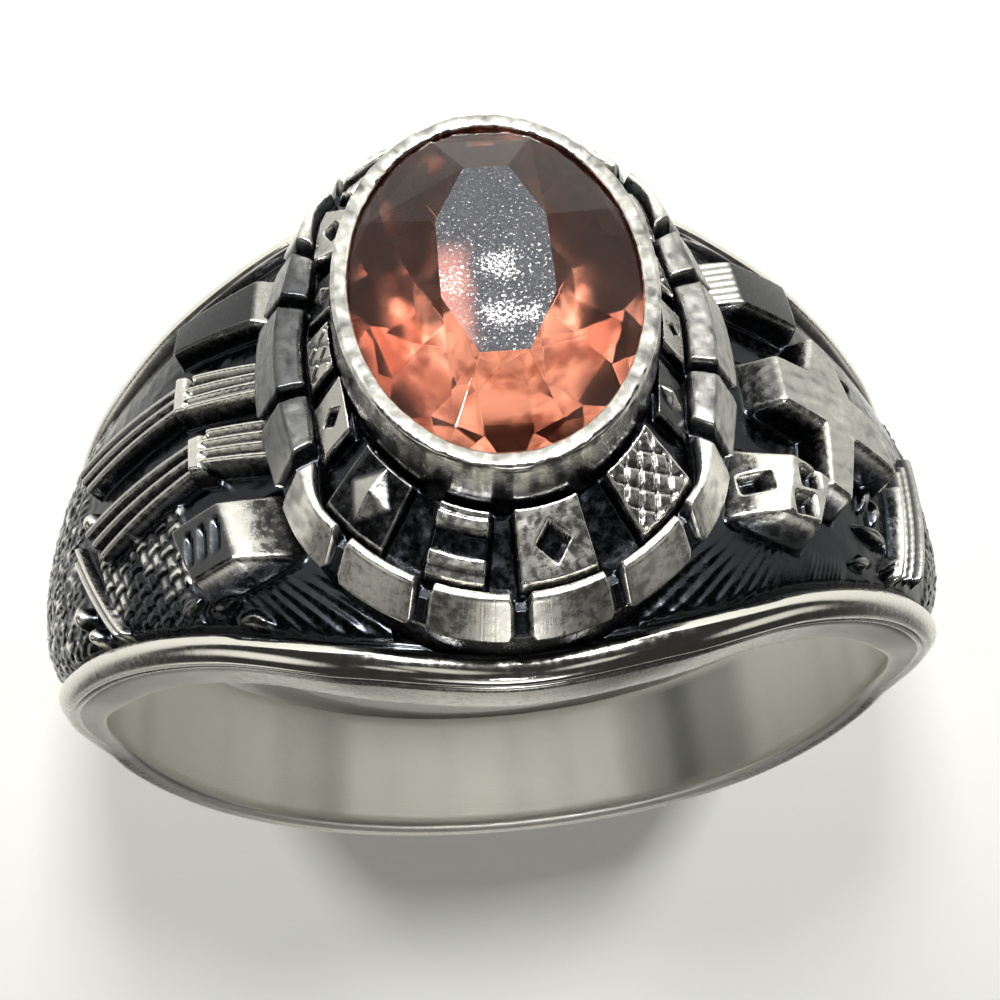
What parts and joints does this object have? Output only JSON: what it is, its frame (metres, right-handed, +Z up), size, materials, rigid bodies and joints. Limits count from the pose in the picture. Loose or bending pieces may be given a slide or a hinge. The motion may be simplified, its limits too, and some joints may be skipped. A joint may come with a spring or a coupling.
{
  "type": "class ring",
  "caption": "Man's class ring: an oval faceted stone in a bezel, a channel of raised blocks, a barred border and raised work on both shoulders.",
  "frame": {"origin": "centre of the finger hole", "axes": "+Z up from the surface that the ring lies on; the head and its stone point to -Y; the finger's axis leans 10.8 degrees from +Z towards +Y, as the ring lies"},
  "size_m": [0.022, 0.0268, 0.012],
  "materials": {
    "silver": "polished white metal, worn bright on its edges and tops, with a dark oxidised ground in its recesses",
    "stone": "salmon orange cut stone, polished facets and a table worn to a grey frost"
  },
  "bodies": {
    "root": {"ring_body": "silver", "stone": "stone"}
  },
  "joints": []
}
